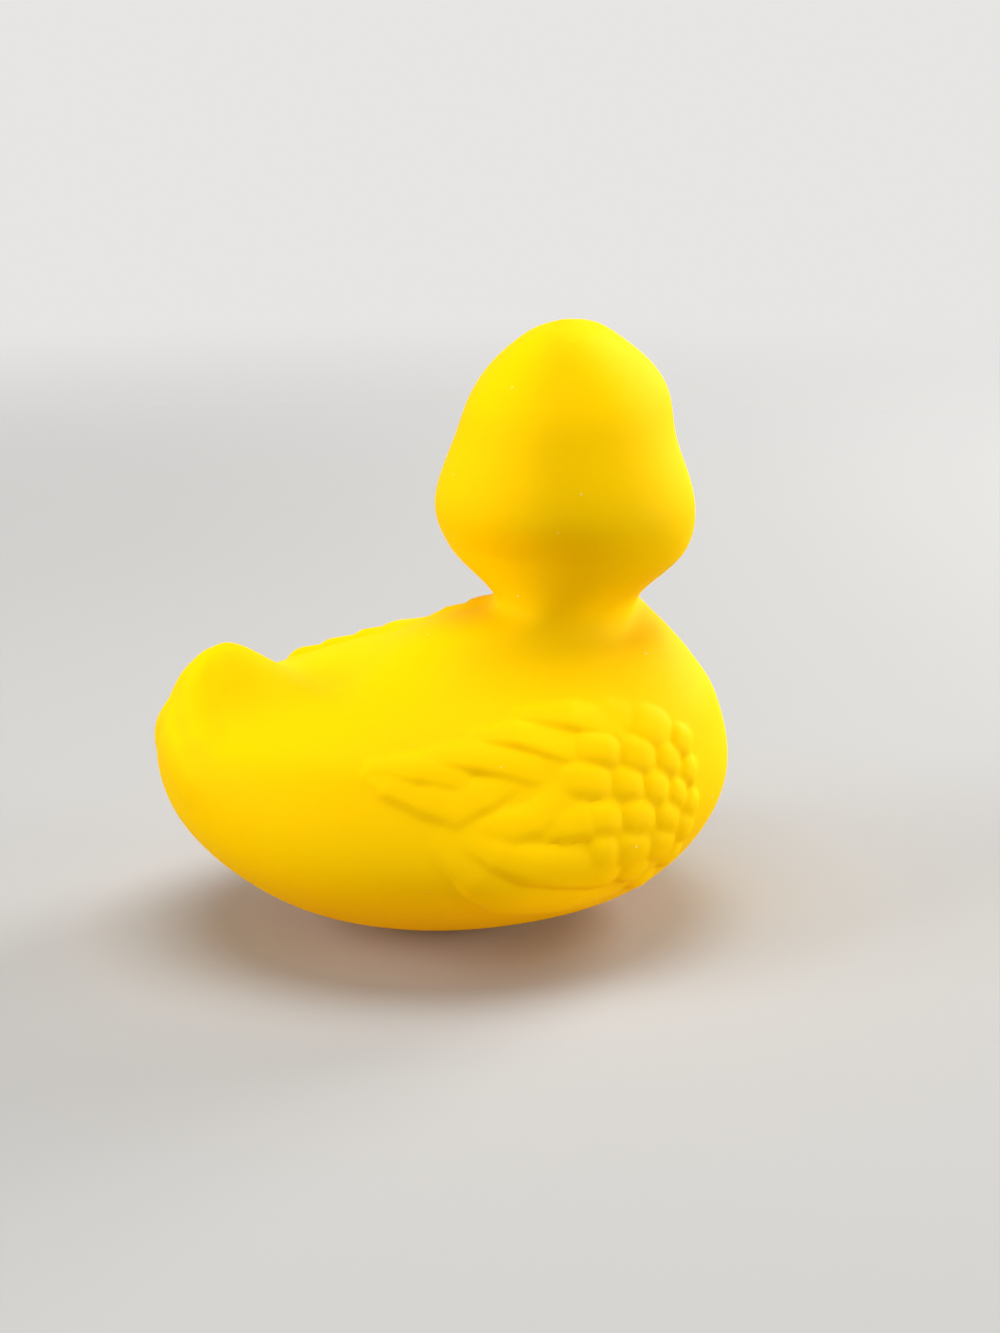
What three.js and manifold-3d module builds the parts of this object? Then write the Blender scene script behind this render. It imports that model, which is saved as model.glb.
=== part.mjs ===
// Bath duck: a hollow one-piece moulding in soft vinyl, standing on a flat base with a vent hole.
// Frame: millimetres, +X toward the chest, +Y to the left, +Z up, origin under the middle of the body.

import * as THREE from "three";
import { LoftGeometry } from "three/addons/geometries/LoftGeometry.js";
import { mergeVertices } from "three/addons/utils/BufferGeometryUtils.js";
import Module from "manifold-3d";

const wasm = await Module();
wasm.setup();

// Body: reaches run from the body's middle
const bodyHeight = 50.2;
const bodyWidth = 76.4;
const chestReach = 43.4;
const rumpReach = 46;
const baseLength = 29;
const baseWidth = 19;
const baseForward = 1;
const shoulderWidth = 39.8;
const backDip = 2.6;
const tailReach = 36.3;
const tailRise = 9;

// Neck and head: the head is turned to the duck's left on the neck
const neckForward = 18;
const neckWidth = 21.8;
const neckLength = 29.2;
const headHeight = 43.52;
const headTurn = 55;
const headWidth = 40.4;
const headLength = 39.1;

// Bill, and the hollow and brow around each eye
const billLength = 11.5;
const billWidth = 20;
const billThickness = 13;
const eyeHollowWidth = 11;
const eyeHollowDepth = 0.8;
const browWidth = 15;
const browSwell = 1.5;

// Feather relief, wall and vent hole
const scaleHeight = 0.8;
const featherHeight = 0.85;
const tailFeatherHeight = 0.55;
const wall = 2;
const ventDiameter = 5;

const vinylYellow = 0xf7d200;

// Rings of the skin from the base to the crown. front and rear are reaches from the ring's centre, lift is
// how far a ring rises at its front or rear, square makes an oval boxier and pinch narrows its rear half.
const turnAngle = THREE.MathUtils.degToRad(headTurn);
const ringList = [];

function addRing(share, ring) {
  const plain = { centre: 0, turn: 0, frontLift: 0, rearLift: 0, liftPower: 2, square: 2, pinch: 0 };
  ringList.push({ ...plain, height: share * bodyHeight, ...ring });
}

function addHeadRing(share, front, rear, side, shift = 0) {
  addRing(1, {
    height: bodyHeight + share * headHeight,
    centre: neckForward + shift,
    turn: turnAngle,
    front: (front * headLength) / 2,
    rear: (rear * headLength) / 2,
    width: side * headWidth,
  });
}

addRing(0, { front: baseLength / 2, rear: baseLength / 2, width: baseWidth, centre: baseForward });
addRing(0.1295, {
  front: 0.772 * chestReach,
  rear: 0.69 * rumpReach,
  width: 0.635 * bodyWidth,
  frontLift: 0.01 * bodyHeight,
  rearLift: 0.024 * bodyHeight,
});
addRing(0.355, {
  front: 0.997 * chestReach,
  rear: 0.974 * rumpReach,
  width: bodyWidth,
  frontLift: 0.1116 * bodyHeight,
  rearLift: 0.0717 * bodyHeight,
});
addRing(0.6574, {
  front: 0.956 * chestReach,
  rear: rumpReach,
  width: 0.84 * bodyWidth,
  frontLift: 0.0438 * bodyHeight,
  rearLift: 0.0159 * bodyHeight,
  square: 2.2,
  pinch: 0.2,
});
addRing(0.745, {
  front: 0.866 * chestReach,
  rear: tailReach,
  width: 0.722 * bodyWidth,
  frontLift: 0.0797 * bodyHeight,
  rearLift: tailRise,
  liftPower: 16,
  square: 2.3,
  pinch: 0.3,
});
addRing(0.8425, {
  centre: 0.38 * neckForward,
  front: 0.627 * chestReach,
  rear: 0.61 * rumpReach,
  width: shoulderWidth,
  frontLift: 0.0657 * bodyHeight,
  rearLift: -backDip,
  square: 2.4,
});
addRing(0.9203, {
  centre: 0.79 * neckForward,
  turn: 0.4 * turnAngle,
  front: 0.527 * neckLength,
  rear: 0.651 * neckLength,
  width: 1.35 * neckWidth,
  frontLift: 0.1036 * bodyHeight,
  rearLift: 0.0279 * bodyHeight,
});
addRing(1.012, {
  centre: 1.04 * neckForward,
  turn: turnAngle,
  front: 0.453 * neckLength,
  rear: 0.547 * neckLength,
  width: neckWidth,
  frontLift: 0.012 * bodyHeight,
  rearLift: 0.004 * bodyHeight,
});
addHeadRing(0.1977, 1, 0.895, 0.921, 0.4);
addHeadRing(0.3517, 0.95, 1.05, 1);
addHeadRing(0.6046, 1.01, 0.94, 0.827);
addHeadRing(0.7586, 0.875, 0.8, 0.683);
addHeadRing(0.9563, 0.51, 0.45, 0.285);
addHeadRing(1, 0.05, 0.05, 0.05);

function ringPoint(ring, angle) {
  const cosine = Math.cos(angle - ring.turn);
  const sine = Math.sin(angle - ring.turn);
  const fore = Math.max(cosine, 0);
  const back = Math.max(-cosine, 0);
  const power = 2 / ring.square;
  const along = cosine > 0 ? ring.front * fore ** power : -ring.rear * back ** power;
  const across = (ring.width / 2) * Math.sign(sine) * Math.abs(sine) ** power * (1 - ring.pinch * back ** 2);
  const lift = ring.frontLift * fore ** 2 + ring.rearLift * back ** ring.liftPower;
  const point = new THREE.Vector3(along, across, ring.height + lift);
  point.applyAxisAngle(new THREE.Vector3(0, 0, 1), ring.turn);
  point.x += ring.centre;
  return point;
}

// A meridian climbs the skin at one angle about the body; a level counts rings along it, from 0 at the base
function meridian(angle) {
  return new THREE.CatmullRomCurve3(ringList.map((ring) => ringPoint(ring, angle)));
}

function skinPoint(degrees, level) {
  return meridian(THREE.MathUtils.degToRad(degrees)).getPoint(level / (ringList.length - 1));
}

function headPoint(degrees, reach, height) {
  const angle = turnAngle + THREE.MathUtils.degToRad(degrees);
  return new THREE.Vector3(neckForward + reach * Math.cos(angle), reach * Math.sin(angle), height);
}

// Feathers: each line on the skin carries a pillow, steeper toward its lower edge by its lean, and where
// pillows meet a groove is left between them
const feathers = [];
const sink = 0.6;

function addLine(start, end, along, down, radii, heights, lean, stretch) {
  const ahead = along.clone().normalize();
  const below = down.clone().addScaledVector(ahead, -down.dot(ahead)).normalize();
  const outward = ahead.clone().cross(below);
  const root = start.clone().addScaledVector(below, sink);
  const span = end.clone().sub(start);
  feathers.push({ root, span, ahead, below, outward, radii, heights, lean, stretch });
}

function downward(degrees, level) {
  return skinPoint(degrees, level - 0.05).sub(skinPoint(degrees, level + 0.05));
}

// A path runs from the root of a feather to its tip as [degrees from the chest, level, radius]
function addPath(side, path, heights, lean) {
  const spots = path.map(([degrees, level]) => skinPoint(side * degrees, level));
  for (let index = 0; index < path.length - 1; index += 1) {
    const [degrees, level, radius] = path[index];
    const [nextDegrees, nextLevel, nextRadius] = path[index + 1];
    const down = downward((side * (degrees + nextDegrees)) / 2, (level + nextLevel) / 2);
    const along = spots[index + 1].clone().sub(spots[index]);
    const radii = [radius, nextRadius];
    addLine(spots[index], spots[index + 1], along, down, radii, heights.slice(index, index + 2), lean, 1);
  }
}

// Scales of a row from the front of the wing to the rear as [degrees, level, length, width, share of height]
function addScaleRow(side, row) {
  const middles = row.map(([degrees, level]) => skinPoint(side * degrees, level));
  row.forEach(([degrees, level, length, width, share = 1], index) => {
    const before = middles[Math.max(index - 1, 0)];
    const after = middles[Math.min(index + 1, row.length - 1)];
    const along = after.clone().sub(before);
    const radius = 0.56 * width;
    const heights = [share * scaleHeight, share * scaleHeight];
    const down = downward(side * degrees, level);
    addLine(middles[index], middles[index], along, down, [radius, radius], heights, 0.15, width / length);
  });
}

const scaleRows = [
  [[47.4, 2.95, 4.4, 5], [55, 3.45, 6.8, 6.8, 0.8], [63.8, 4.04, 6, 5.4, 0.4]],
  [[47.1, 2.62, 3.6, 4.6], [53.5, 2.82, 4.8, 5], [61.9, 2.98, 6, 5.6], [71.1, 3.31, 6.8, 5.6]],
  [
    [47.3, 2.3, 3.4, 4.4],
    [52.2, 2.48, 3.9, 4.4],
    [58.5, 2.61, 4.8, 5.2],
    [65.8, 2.72, 5.2, 4.9],
    [75.6, 2.83, 8, 5.4],
  ],
  [[49.2, 2.09, 4.4, 4.4], [55.7, 2.31, 5.1, 4.4], [63.9, 2.42, 6, 4.9], [72.6, 2.49, 6.2, 4.8]],
  [[50.8, 1.77, 5, 4.5], [56.7, 2.03, 6, 5], [65, 2.13, 6.4, 5.2], [72.7, 2.2, 5.2, 5.3]],
  [[55.6, 1.51, 6, 4.5], [63, 1.83, 6.5, 4.5], [72.3, 1.94, 6.4, 4.8]],
];
// Lower edges of the long feathers, where each stop ends with its share of the feather height
const lowerEdges = [
  [[65.8, 3.7, 2.2, 0.4], [75.9, 4.14, 2.3, 1], [89, 4.4, 1.1, 0.4]],
  [[78.6, 3.37, 2.2, 0.45], [87.4, 3.87, 2.3, 1.15], [94.4, 4.02, 1.1, 0.45]],
  [[86.4, 2.99, 2.1, 0.4], [94.2, 3.35, 2.6, 0.9], [102.6, 3.49, 1.2, 0.35]],
  [[97.4, 2.96, 1.9, 0.4], [104.4, 3.09, 2.2, 0.9], [112.9, 3.23, 1.2, 0.3]],
  [[98.9, 2.65, 2.2, 0.45], [103.4, 2.74, 2.4, 0.65], [109.4, 2.88, 2, 0.65], [113.4, 3.04, 1.3, 0.2]],
  [[90.5, 2.87, 1.7, 0.25], [94.5, 2.75, 2.2, 0.65], [98.9, 2.65, 2.2, 0.55]],
  [[80.3, 2.7, 1.8, 0.4], [86.8, 2.52, 2, 0.9], [90.6, 2.49, 2.2, 0.9], [98.1, 2.54, 1.2, 0.2]],
  [[77, 2.46, 2.4, 0.9], [81.5, 2.46, 2, 0.8], [87.6, 2.45, 1, 0.3]],
  [[75.5, 1.97, 2.6, 0.8], [87.9, 2.16, 2.6, 1.45], [93.6, 2.28, 2.4, 1.1], [100.5, 2.49, 1.6, 0.1]],
  [
    [65.8, 1.27, 2.8, 0.4],
    [78.8, 1.51, 3.4, 0.9],
    [91.6, 1.73, 3.4, 1],
    [97.8, 2.06, 2.8, 0.85],
    [102.5, 2.39, 1.8, 0.2],
  ],
];
const upperRow = [
  [147, 6.9], [138, 6.44], [140, 6.02], [113, 5.14], [118, 4.85], [120, 4.46], [126, 4.28],
];
const tailFeathers = [
  [[176, 3.78, 2.2], [171.5, 3.62, 3], [164.5, 3.53, 3.3], [156.5, 3.39, 3], [148, 3.14, 1.6]],
  [[175, 3.21, 2.4], [170.5, 3.04, 3], [163.5, 2.84, 3.3], [158.5, 2.65, 3], [153, 2.48, 1.8]],
];

function addWing(side, upperHeight) {
  scaleRows.forEach((row) => addScaleRow(side, row));
  for (const path of lowerEdges) {
    const heights = path.map((stop) => stop[3] * featherHeight);
    addPath(side, path, heights, 0.5);
  }
  for (let index = 0; index < upperRow.length - 1; index += 1) {
    const path = [[...upperRow[index], 2.2], [...upperRow[index + 1], 2.6]];
    addPath(side, path, [0.4 * upperHeight, upperHeight], -0.5);
  }
  for (const path of tailFeathers) {
    const heights = [0.6, 1, 1, 0.8, 0.1].map((share) => share * tailFeatherHeight);
    addPath(side, path, heights, -0.25);
  }
}

addWing(-1, 0.12 * featherHeight);
addWing(1, 1.29 * featherHeight);

function featherRelief(point) {
  const squareness = 2.6;
  const fullness = 2.6;
  const offset = new THREE.Vector3();
  let relief = 0;
  for (const feather of feathers) {
    offset.subVectors(point, feather.root);
    const reach = feather.span.lengthSq();
    const share = reach > 0 ? THREE.MathUtils.clamp(offset.dot(feather.span) / reach, 0, 1) : 0;
    offset.addScaledVector(feather.span, -share);
    const along = Math.abs(offset.dot(feather.ahead)) * feather.stretch;
    const below = offset.dot(feather.below);
    const across = Math.abs(below) * (1 + Math.sign(below) * feather.lean);
    const outward = Math.abs(offset.dot(feather.outward));
    const powers = along ** squareness + across ** squareness + outward ** squareness;
    const radius = THREE.MathUtils.lerp(...feather.radii, share);
    const ratio = powers ** (1 / squareness) / radius;
    const height = THREE.MathUtils.lerp(...feather.heights, share);
    relief = Math.max(relief, height * (1 - ratio ** fullness));
  }
  return relief;
}

// Soft swells of the head: a hollow around each eye and a brow above it
const eyeHeight = ringList[10].height - 0.025 * headHeight;
const browHeight = eyeHeight + 0.2345 * headHeight;
const swells = [];
for (const side of [-1, 1]) {
  const hollow = headPoint(side * 58, 0.46 * headWidth, eyeHeight);
  const brow = headPoint(side * 66, 0.35 * headWidth, browHeight);
  swells.push({ centre: hollow, radius: eyeHollowWidth / 2, height: -eyeHollowDepth });
  swells.push({ centre: brow, radius: browWidth / 2, height: browSwell });
}

function headRelief(point) {
  let relief = 0;
  for (const swell of swells) {
    relief += swell.height * Math.exp(-point.distanceToSquared(swell.centre) / swell.radius ** 2);
  }
  return relief;
}

// Places of the loft's columns and rows, spaced closer over the wings
function steps(from, to, count) {
  return Array.from({ length: count }, (_, index) => from + ((to - from) * index) / count);
}

const wingFront = 43;
const wingRear = 118;
const wingColumns = steps(wingFront, wingRear, 31);
const leftColumns = [...steps(0, wingFront, 6), ...wingColumns, ...steps(wingRear, 180, 9)];
const columns = [...leftColumns, 180, ...leftColumns.slice(1).reverse().map((degrees) => 360 - degrees)];
const rowsPerRing = [3, 7, 7, 4, 5, 2, 2, 4, 2, 4, 3, 3, 1];
const rows = rowsPerRing.flatMap((count, level) => steps(level, level + 1, count));
rows.push(ringList.length - 1);

function skinSections(columnDegrees, levels) {
  const curves = columnDegrees.map((degrees) => meridian(THREE.MathUtils.degToRad(degrees)));
  return levels.map((level) => curves.map((curve) => curve.getPoint(level / (ringList.length - 1))));
}

// Moves each point of the sections along the skin's normal
function offsetSections(sections, distance) {
  const normals = new LoftGeometry(sections).getAttribute("normal");
  const pointsPerRow = sections[0].length + 1;
  return sections.map((section, row) =>
    section.map((point, column) => {
      const normal = new THREE.Vector3().fromBufferAttribute(normals, row * pointsPerRow + column);
      return point.clone().addScaledVector(normal, distance(point));
    }),
  );
}

function closedLoft(sections) {
  return new LoftGeometry(sections, { capStart: true, capEnd: true });
}

function skinGeometry() {
  const sections = skinSections(columns, rows);
  const shaped = offsetSections(sections, (point) => featherRelief(point) + headRelief(point));
  shaped[0] = sections[0];
  return closedLoft(shaped);
}

// The hollow follows the skin one wall thickness further in
function hollowGeometry() {
  const hollowColumns = steps(0, 360, 32);
  const hollowRowsPerRing = [2, 2, 2, 3, 2, 1, 1, 2, 1, 2, 1, 2];
  const hollowLevels = hollowRowsPerRing.flatMap((count, level) => steps(level, level + 1, count));
  hollowLevels.push(hollowRowsPerRing.length);
  const sections = offsetSections(skinSections(hollowColumns, hollowLevels), () => -wall);
  sections[0].forEach((point) => {
    point.z = wall;
  });
  return closedLoft(sections);
}

// The bill is a flat spoon with a longer upper half, a mouth line and a slight upward turn at the tip
function billGeometry() {
  const billHeight = ringList[9].height + 0.025 * headHeight;
  const rootReach = 0.3 * headLength;
  const overhang = headLength / 2 + billLength - rootReach;
  const forward = new THREE.Vector3(Math.cos(turnAngle), Math.sin(turnAngle), 0);
  const sideways = new THREE.Vector3(-Math.sin(turnAngle), Math.cos(turnAngle), 0);
  const stations = 12;
  const around = 28;
  const sections = [];
  for (let station = 0; station <= stations; station += 1) {
    const share = station / stations;
    const advance = Math.sin((share * Math.PI) / 2);
    const rounding = Math.cos((0.97 * share * Math.PI) / 2) ** 0.6;
    const halfWidth = (billWidth / 2) * rounding * (1 + 0.15 * Math.sin(share * Math.PI));
    const halfThickness = (billThickness / 2) * rounding * (1 - 0.3 * advance);
    const section = [];
    for (let index = 0; index < around; index += 1) {
      const angle = (2 * Math.PI * index) / around;
      const upper = Math.sin(angle);
      const mouth = 1 - 0.12 * Math.exp(-((upper / 0.2) ** 2));
      const lower = upper < 0 ? 1 - 0.14 * Math.sqrt(-upper) : 1;
      const reach = rootReach + overhang * advance * mouth * lower;
      const point = forward.clone().multiplyScalar(reach);
      point.addScaledVector(sideways, halfWidth * Math.cos(angle) * mouth * lower);
      point.x += neckForward;
      point.z = billHeight + halfThickness * upper + 0.15 * billThickness * advance ** 2;
      section.push(point);
    }
    sections.push(section);
  }
  return closedLoft(sections);
}

// Solids for joining and cutting
function toSolid(geometry) {
  const bare = new THREE.BufferGeometry();
  bare.setAttribute("position", geometry.getAttribute("position"));
  bare.setIndex(geometry.getIndex());
  const merged = mergeVertices(bare);
  const mesh = new wasm.Mesh({
    numProp: 3,
    vertProperties: new Float32Array(merged.getAttribute("position").array),
    triVerts: new Uint32Array(merged.getIndex().array),
  });
  return new wasm.Manifold(mesh);
}

function toGeometry(solid) {
  const mesh = solid.getMesh();
  const geometry = new THREE.BufferGeometry();
  geometry.setAttribute("position", new THREE.BufferAttribute(mesh.vertProperties, 3));
  geometry.setIndex(new THREE.BufferAttribute(mesh.triVerts, 1));
  geometry.computeVertexNormals();
  return geometry;
}

function ventGeometry() {
  const vent = new THREE.CylinderGeometry(ventDiameter / 2, ventDiameter / 2, 4 * wall, 32);
  vent.rotateX(Math.PI / 2);
  vent.translate(ringList[0].centre, 0, 0);
  return vent;
}

const outside = toSolid(skinGeometry()).add(toSolid(billGeometry()));
const shell = outside.subtract(toSolid(hollowGeometry())).subtract(toSolid(ventGeometry()));

const duckGeometry = toGeometry(shell);
duckGeometry.computeBoundingBox();
const middle = duckGeometry.boundingBox.getCenter(new THREE.Vector3());
duckGeometry.translate(-middle.x, -middle.y, 0);

const vinyl = new THREE.MeshStandardMaterial({ color: vinylYellow, roughness: 0.5, metalness: 0 });
const duck = new THREE.Mesh(duckGeometry, vinyl);
duck.name = "duck";

const bathDuck = new THREE.Group();
bathDuck.add(duck);

export default bathDuck;
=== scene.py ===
# %% [markdown]
# # A bath duck in soft vinyl
# The duck is one hollow moulding: a plump body with feather relief on both wings, a short upturned
# tail, and a head that looks over its left shoulder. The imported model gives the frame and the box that
# the finished duck has to fill. Everything here is worked out in millimetres and goes into the meshes
# in metres.

# %% Load the frame
import math

import bpy
import numpy as np
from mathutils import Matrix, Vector


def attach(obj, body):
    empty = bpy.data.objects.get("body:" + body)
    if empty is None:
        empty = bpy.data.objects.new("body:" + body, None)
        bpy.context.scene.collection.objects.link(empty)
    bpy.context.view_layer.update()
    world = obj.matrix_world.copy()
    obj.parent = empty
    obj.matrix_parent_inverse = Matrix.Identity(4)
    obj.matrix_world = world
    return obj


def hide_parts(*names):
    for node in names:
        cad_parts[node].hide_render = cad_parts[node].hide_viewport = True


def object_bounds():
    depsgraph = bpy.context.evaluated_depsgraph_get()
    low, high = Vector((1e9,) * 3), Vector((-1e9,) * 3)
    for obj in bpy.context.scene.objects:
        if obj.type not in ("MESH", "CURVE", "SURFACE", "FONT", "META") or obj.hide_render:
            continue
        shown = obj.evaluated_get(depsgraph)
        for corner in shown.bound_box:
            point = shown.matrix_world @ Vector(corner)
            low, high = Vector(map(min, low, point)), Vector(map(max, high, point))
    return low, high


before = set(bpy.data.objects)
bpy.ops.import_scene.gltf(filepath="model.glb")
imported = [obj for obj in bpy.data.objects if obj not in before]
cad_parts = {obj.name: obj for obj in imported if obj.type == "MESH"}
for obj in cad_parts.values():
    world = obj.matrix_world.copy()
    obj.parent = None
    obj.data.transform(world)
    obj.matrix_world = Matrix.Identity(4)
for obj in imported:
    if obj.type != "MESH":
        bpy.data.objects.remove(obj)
cad_low, cad_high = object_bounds()
MM = 0.001
print("CAD box in mm:", [round(side / MM, 2) for side in cad_high - cad_low])

# %% [markdown]
# ## The rings of the skin
# A mould maker would carve this shape from a stack of cross sections, and a loft does the same. Each
# ring is an oval with its own reach to the front and to the rear, so the body can be full at the chest
# and long at the tail. A ring may rise at its ends, be boxier than an oval, or be pinched toward the
# tail. The head has rings of its own that are turned on the neck. A subdivided cage could give the same
# form, but rings keep every size readable.

# %% Sizes and rings
BODY_HEIGHT, HEAD_HEIGHT = 50.2, 43.5
BODY_WIDTH, CHEST_REACH, RUMP_REACH = 76.4, 43.4, 45.9
BASE_LENGTH, BASE_WIDTH, BASE_FORWARD = 29.0, 19.0, 1.0
SHOULDER_WIDTH, BACK_DIP = 39.8, 2.6
TAIL_REACH, TAIL_RISE = 36.3, 9.0
NECK_FORWARD, NECK_WIDTH, NECK_LENGTH = 18.0, 21.8, 29.2
HEAD_TURN, HEAD_WIDTH, HEAD_LENGTH = math.radians(55), 40.4, 39.1


def ring(share, front, rear, width, centre=0.0, **shape):
    plain = {"turn": 0.0, "front_lift": 0.0, "rear_lift": 0.0, "lift_power": 2, "square": 2.0, "pinch": 0.0}
    sizes = {"height": share * BODY_HEIGHT, "front": front, "rear": rear, "width": width, "centre": centre}
    return {**plain, **sizes, **shape}


def head_ring(share, front, rear, side, shift=0.0):
    reach = HEAD_LENGTH / 2
    height = BODY_HEIGHT + share * HEAD_HEIGHT
    turned = ring(0, front * reach, rear * reach, side * HEAD_WIDTH, NECK_FORWARD + shift, turn=HEAD_TURN)
    return {**turned, "height": height}


rings = [
    ring(0.0, BASE_LENGTH / 2, BASE_LENGTH / 2, BASE_WIDTH, BASE_FORWARD),
    ring(0.1295, 0.772 * CHEST_REACH, 0.69 * RUMP_REACH, 0.635 * BODY_WIDTH, front_lift=0.5, rear_lift=1.2),
    ring(0.355, 0.997 * CHEST_REACH, 0.974 * RUMP_REACH, BODY_WIDTH, front_lift=5.6, rear_lift=3.6),
    ring(0.6574, 0.956 * CHEST_REACH, RUMP_REACH, 0.84 * BODY_WIDTH,
         front_lift=2.2, rear_lift=0.8, square=2.2, pinch=0.2),
    ring(0.745, 0.866 * CHEST_REACH, TAIL_REACH, 0.722 * BODY_WIDTH,
         front_lift=4.0, rear_lift=TAIL_RISE, lift_power=16, square=2.3, pinch=0.3),
    ring(0.8425, 0.627 * CHEST_REACH, 0.61 * RUMP_REACH, SHOULDER_WIDTH, 0.38 * NECK_FORWARD,
         front_lift=3.3, rear_lift=-BACK_DIP, lift_power=2, square=2.4),
    ring(0.9203, 0.527 * NECK_LENGTH, 0.651 * NECK_LENGTH, 1.35 * NECK_WIDTH, 0.79 * NECK_FORWARD,
         turn=0.4 * HEAD_TURN, front_lift=5.2, rear_lift=1.4),
    ring(1.012, 0.453 * NECK_LENGTH, 0.547 * NECK_LENGTH, NECK_WIDTH, 1.04 * NECK_FORWARD,
         turn=HEAD_TURN, front_lift=0.6, rear_lift=0.2),
    head_ring(0.1977, 1.0, 0.895, 0.921, 0.4),
    head_ring(0.3517, 0.95, 1.05, 1.0),
    head_ring(0.6046, 1.01, 0.94, 0.827),
    head_ring(0.7586, 0.875, 0.8, 0.683),
    head_ring(0.9563, 0.51, 0.45, 0.285),
    head_ring(1.0, 0.05, 0.05, 0.05),
]
print(len(rings), "rings up to", rings[-1]["height"], "mm")

# %% [markdown]
# ## A smooth skin through the rings
# At every angle about the body, one curve climbs through all the rings from the base to the crown. A
# centripetal Catmull-Rom curve passes through its points without overshooting, which keeps the belly
# full and the neck tight. A place on the skin is then an angle, counted from the chest, and a level,
# counted in rings from the base.

# %% Points on the skin


def ring_points(oval, degrees):
    angle = np.radians(degrees) - oval["turn"]
    cosine, sine = np.cos(angle), np.sin(angle)
    fore, back = np.clip(cosine, 0, 1), np.clip(-cosine, 0, 1)
    power = 2 / oval["square"]
    along = oval["front"] * fore**power - oval["rear"] * back**power
    across = oval["width"] / 2 * np.sign(sine) * np.abs(sine) ** power * (1 - oval["pinch"] * back**2)
    height = oval["height"] + oval["front_lift"] * fore**2 + oval["rear_lift"] * back ** oval["lift_power"]
    turn_cos, turn_sin = math.cos(oval["turn"]), math.sin(oval["turn"])
    x = oval["centre"] + along * turn_cos - across * turn_sin
    y = along * turn_sin + across * turn_cos
    return np.stack([x, y, height], -1)


def skin_points(degrees, levels):
    """Rows of points, one row for each level and one column for each angle."""
    knots = np.array([ring_points(oval, np.asarray(degrees, float)) for oval in rings])
    before, after = 2 * knots[:1] - knots[1:2], 2 * knots[-1:] - knots[-2:-1]
    knots = np.concatenate([before, knots, after])
    rows = []
    for level in levels:
        lower = min(int(level), len(rings) - 2)
        share = level - lower
        p0, p1, p2, p3 = knots[lower:lower + 4]
        gap0, gap1, gap2 = (np.linalg.norm(b - a, axis=-1, keepdims=True) ** 0.5
                            for a, b in ((p0, p1), (p1, p2), (p2, p3)))
        start = ((p1 - p0) / gap0 - (p2 - p0) / (gap0 + gap1) + (p2 - p1) / gap1) * gap1
        end = ((p2 - p1) / gap1 - (p3 - p1) / (gap1 + gap2) + (p3 - p2) / gap2) * gap1
        cubic = 2 * p1 - 2 * p2 + start + end
        square = -3 * p1 + 3 * p2 - 2 * start - end
        rows.append(p1 + share * (start + share * (square + share * cubic)))
    return np.array(rows)


def skin_point(degrees, level):
    return skin_points([degrees], [level])[0, 0]


def skin_normals(rows):
    around = np.roll(rows, -1, 1) - np.roll(rows, 1, 1)
    normals = np.cross(around, np.gradient(rows, axis=0))
    return normals / np.linalg.norm(normals, axis=-1, keepdims=True)


print("Widest at the belly:", np.round(skin_point(90, 2), 1), "mm")

# %% [markdown]
# ## The plain skin as a mesh
# The mesh is a grid of angles and levels. Over the wings the grid is about 0.45 mm fine, so that small
# feathers are real geometry; the chest and the head need less. Soft swells round off the head: a shallow
# hollow about each eye and a brow above it, which give the head its wavy outline.

# %% Grid, swells and the skin object


def spaced(stops, counts):
    parts = [np.linspace(a, b, n, endpoint=False) for a, b, n in zip(stops, stops[1:], counts)]
    return np.concatenate(parts)


def loft(name, rows):
    """A closed mesh through rows of points, with a fan at each end."""
    count, around = rows.shape[:2]
    points = np.concatenate([rows.reshape(-1, 3), rows[:1].mean(1), rows[-1:].mean(1)]) * MM
    index = np.arange(count * around).reshape(count, around)
    turned = np.roll(index, -1, 1)
    quads = np.stack([index[:-1], turned[:-1], turned[1:], index[1:]], -1).reshape(-1, 4)
    first, last = count * around, count * around + 1
    fans = [(first, b, a) for a, b in zip(index[0], turned[0])]
    fans += [(last, a, b) for a, b in zip(index[-1], turned[-1])]
    mesh = bpy.data.meshes.new(name)
    mesh.from_pydata(points.tolist(), [], quads.tolist() + [tuple(map(int, fan)) for fan in fans])
    mesh.polygons.foreach_set("use_smooth", [True] * len(mesh.polygons))
    piece = bpy.data.objects.new(name, mesh)
    bpy.context.scene.collection.objects.link(piece)
    return piece


def head_point(degrees, reach, height):
    angle = HEAD_TURN + math.radians(degrees)
    return np.array([NECK_FORWARD + reach * math.cos(angle), reach * math.sin(angle), height])


EYE_HEIGHT = rings[10]["height"] - 1.1
SOCKET_ANGLE, SOCKET_REACH, SOCKET_RADIUS, SOCKET_RISE = 58, 0.46 * HEAD_WIDTH, 5.5, -0.8
BROW_ANGLE, BROW_REACH, BROW_RADIUS, BROW_RISE = 66, 0.35 * HEAD_WIDTH, 7.5, 1.5
BROW_HEIGHT = EYE_HEIGHT + 10.2
swells = []
for side in (-1, 1):
    swells.append((head_point(side * SOCKET_ANGLE, SOCKET_REACH, EYE_HEIGHT), SOCKET_RADIUS, SOCKET_RISE))
    swells.append((head_point(side * BROW_ANGLE, BROW_REACH, BROW_HEIGHT), BROW_RADIUS, BROW_RISE))

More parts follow.
